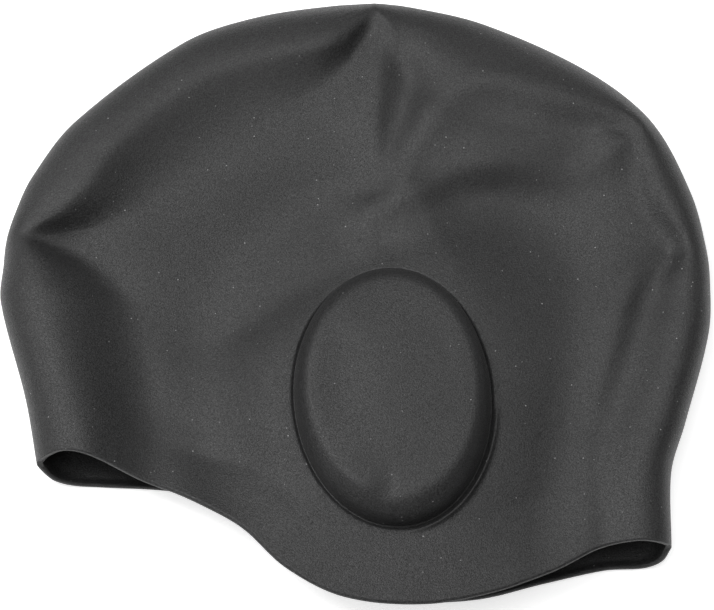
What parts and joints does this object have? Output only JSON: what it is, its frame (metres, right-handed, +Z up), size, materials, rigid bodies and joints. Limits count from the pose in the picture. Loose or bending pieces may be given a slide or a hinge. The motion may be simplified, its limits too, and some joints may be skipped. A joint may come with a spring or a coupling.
{
  "type": "swim cap with ear pockets",
  "caption": "Moulded silicone swim cap with oval ear pockets, lying flat on its side with the mouth open; it covers the hair and ears of a swimmer",
  "frame": {"origin": "centre of the bounding box in plan, on the surface the cap lies on", "axes": "+X runs from the forehead to the nape, +Y from the mouth to the crown, +Z up through the upper layer"},
  "size_m": [0.2316, 0.2117, 0.0292],
  "materials": {
    "silicone": "matt black silicone with a fine grain"
  },
  "bodies": {
    "root": {"moulded_cap": "silicone"}
  },
  "joints": []
}
